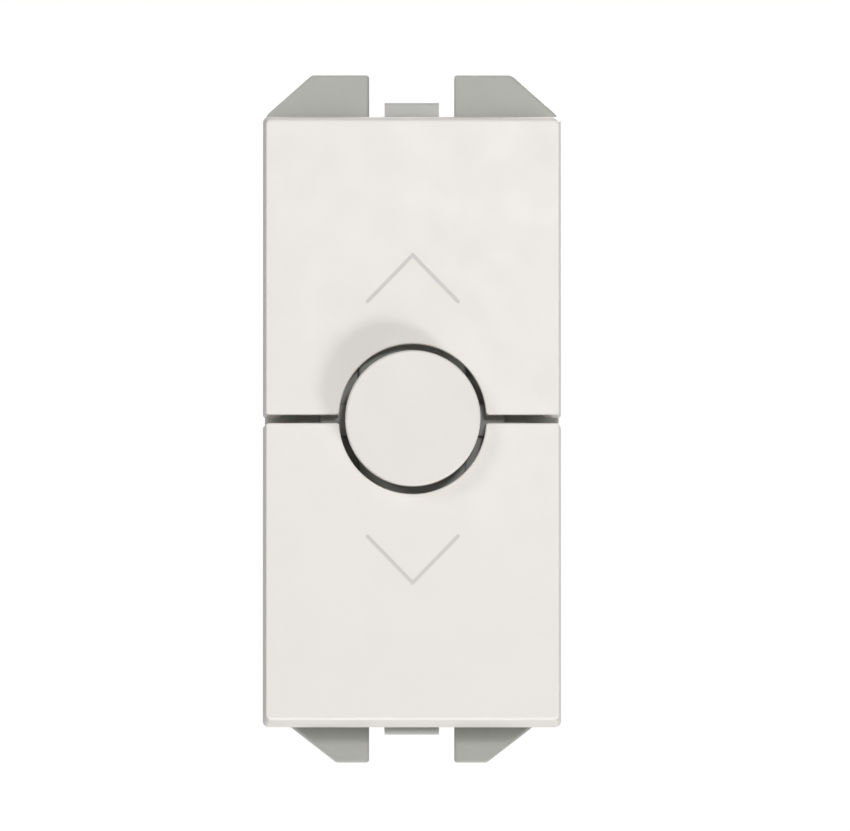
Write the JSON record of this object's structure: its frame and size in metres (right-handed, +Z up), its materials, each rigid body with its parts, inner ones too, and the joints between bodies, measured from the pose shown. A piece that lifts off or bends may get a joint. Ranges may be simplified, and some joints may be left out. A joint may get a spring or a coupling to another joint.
{
  "type": "modular push-key dimmer insert",
  "caption": "Narrow clip-in wall dimmer with up and down keys round a push-button, an eared chassis, sprung latches and a rear housing with screw terminals.",
  "frame": {"origin": "the button's axis on the plane where the four ears rest on the support frame", "axes": "+X right as seen from the front, +Y into the wall, +Z up"},
  "size_m": [0.0222, 0.0418, 0.0512],
  "materials": {
    "key_plastic": "satin moulded white thermoplastic",
    "button_plastic": "satin moulded white thermoplastic",
    "chassis_plastic": "matt moulded light grey thermoplastic",
    "latch_plastic": "matt moulded light grey thermoplastic",
    "housing_plastic": "matt moulded grey thermoplastic",
    "spring_steel": "drawn spring wire and strip",
    "board_laminate": "glass-epoxy laminate with green solder mask",
    "black_plastic": "moulded black epoxy or thermoplastic",
    "switch_cover_steel": "stamped stainless sheet",
    "plunger_plastic": "moulded ivory thermoplastic",
    "core_coating": "yellow powder-coated iron powder core",
    "winding_enamel": "enamelled copper wire",
    "film_case": "yellow potted plastic case",
    "can_sleeve": "black heat-shrink sleeve on an aluminium can",
    "varistor_coating": "blue epoxy coating",
    "fuse_body": "white ceramic tube with nickel-plated caps",
    "heat_sink_aluminium": "mill-finish sheet",
    "retainer_plastic": "natural moulded thermoplastic",
    "zinc_steel": "zinc-plated steel",
    "contact_brass": "stamped brass",
    "mark_ink": "pale grey printing ink in the direction marks",
    "label_film": "satin white polyester label film",
    "solder": "tin solder, as soldered"
  },
  "bodies": {
    "module": {"board_link": "black_plastic", "button_spring": "spring_steel", "centre_switch": "black_plastic", "centre_switch_cover": "switch_cover_steel", "chassis": "chassis_plastic", "choke_core": "core_coating", "choke_winding": "winding_enamel", "film_capacitor": "film_case", "fuse": "fuse_body", "heat_sink": "heat_sink_aluminium", "key_board": "board_laminate", "key_board_parts": "black_plastic", "line_contact": "contact_brass", "load_contact": "contact_brass", "lower_key_spring": "spring_steel", "lower_latch_spring": "spring_steel", "lower_switch": "black_plastic", "lower_switch_cover": "switch_cover_steel", "lower_transistor": "black_plastic", "lower_transistor_screw": "zinc_steel", "main_board": "board_laminate", "main_board_parts": "black_plastic", "rear_housing": "housing_plastic", "remote_contact": "contact_brass", "smoothing_capacitor": "can_sleeve", "terminal_retainer": "retainer_plastic", "upper_key_spring": "spring_steel", "upper_latch_spring": "spring_steel", "upper_switch": "black_plastic", "upper_switch_cover": "switch_cover_steel", "upper_transistor": "black_plastic", "upper_transistor_screw": "zinc_steel", "varistor": "varistor_coating"},
    "upper_key": {"upper_key": "key_plastic"},
    "lower_key": {"lower_key": "key_plastic"},
    "centre_button": {"centre_button": "button_plastic"},
    "upper_plunger": {"upper_plunger": "plunger_plastic"},
    "centre_plunger": {"centre_plunger": "plunger_plastic"},
    "lower_plunger": {"lower_plunger": "plunger_plastic"},
    "upper_latch": {"upper_latch": "latch_plastic"},
    "lower_latch": {"lower_latch": "latch_plastic"},
    "line_screw": {"line_screw": "zinc_steel"},
    "line_cage": {"line_cage": "zinc_steel"},
    "load_screw": {"load_screw": "zinc_steel"},
    "load_cage": {"load_cage": "zinc_steel"},
    "remote_screw": {"remote_screw": "zinc_steel"},
    "remote_cage": {"remote_cage": "zinc_steel"}
  },
  "joints": [
    {"name": "upper_key_rock", "type": "hinge", "parent": "module", "child": "upper_key", "pos_m": [0, -0.0042, 0.02], "axis": [1, 0, 0], "range_deg": [0, 1.75], "deforming": ["upper_key_spring"]},
    {"name": "lower_key_rock", "type": "hinge", "parent": "module", "child": "lower_key", "pos_m": [0, -0.0042, -0.02], "axis": [-1, 0, 0], "range_deg": [0, 1.75], "deforming": ["lower_key_spring"]},
    {"name": "button_press", "type": "slide", "parent": "module", "child": "centre_button", "axis": [0, 1, 0], "range_m": [0, 0.0008], "stiffness_N_per_m": 500, "springref_m": -0.001, "deforming": ["button_spring"]},
    {"name": "upper_plunger_press", "type": "slide", "parent": "module", "child": "upper_plunger", "axis": [0, 1, 0], "range_m": [0, 0.00029], "stiffness_N_per_m": 540, "springref_m": -0.0029},
    {"name": "centre_plunger_press", "type": "slide", "parent": "module", "child": "centre_plunger", "axis": [0, 1, 0], "range_m": [0, 0.0003]},
    {"name": "lower_plunger_press", "type": "slide", "parent": "module", "child": "lower_plunger", "axis": [0, 1, 0], "range_m": [0, 0.00029], "stiffness_N_per_m": 540, "springref_m": -0.0029},
    {"name": "upper_latch_release", "type": "hinge", "parent": "module", "child": "upper_latch", "pos_m": [0, 0.012, 0.02085], "axis": [1, 0, 0], "range_deg": [0, 4], "stiffness_Nm_per_rad": 0.05, "springref_deg": -11.46, "deforming": ["upper_latch_spring"]},
    {"name": "lower_latch_release", "type": "hinge", "parent": "module", "child": "lower_latch", "pos_m": [0, 0.012, -0.02085], "axis": [-1, 0, 0], "range_deg": [0, 4], "stiffness_Nm_per_rad": 0.05, "springref_deg": -11.46, "deforming": ["lower_latch_spring"]},
    {"name": "line_screw_turn", "type": "hinge", "parent": "module", "child": "line_screw", "pos_m": [-0.0061, 0.0265, -0.0153], "axis": [0, -1, 0], "range_deg": [0, 1730]},
    {"name": "line_cage_rise", "type": "slide", "parent": "module", "child": "line_cage", "axis": [0, 1, 0], "range_m": [0, 0.0024]},
    {"name": "load_screw_turn", "type": "hinge", "parent": "module", "child": "load_screw", "pos_m": [0, 0.0265, -0.0153], "axis": [0, -1, 0], "range_deg": [0, 1730]},
    {"name": "load_cage_rise", "type": "slide", "parent": "module", "child": "load_cage", "axis": [0, 1, 0], "range_m": [0, 0.0024]},
    {"name": "remote_screw_turn", "type": "hinge", "parent": "module", "child": "remote_screw", "pos_m": [0.0061, 0.0265, -0.0153], "axis": [0, -1, 0], "range_deg": [0, 1730]},
    {"name": "remote_cage_rise", "type": "slide", "parent": "module", "child": "remote_cage", "axis": [0, 1, 0], "range_m": [0, 0.0024]}
  ],
  "couplings": [
    {"joint": "upper_key_rock", "follows": "upper_plunger_press", "rad_per_m": 104.17},
    {"joint": "lower_key_rock", "follows": "lower_plunger_press", "rad_per_m": 104.17},
    {"joint": "centre_plunger_press", "follows": "button_press", "ratio": 0.375},
    {"joint": "line_screw_turn", "follows": "line_cage_rise", "rad_per_m": 12566},
    {"joint": "load_screw_turn", "follows": "load_cage_rise", "rad_per_m": 12566},
    {"joint": "remote_screw_turn", "follows": "remote_cage_rise", "rad_per_m": 12566}
  ]
}
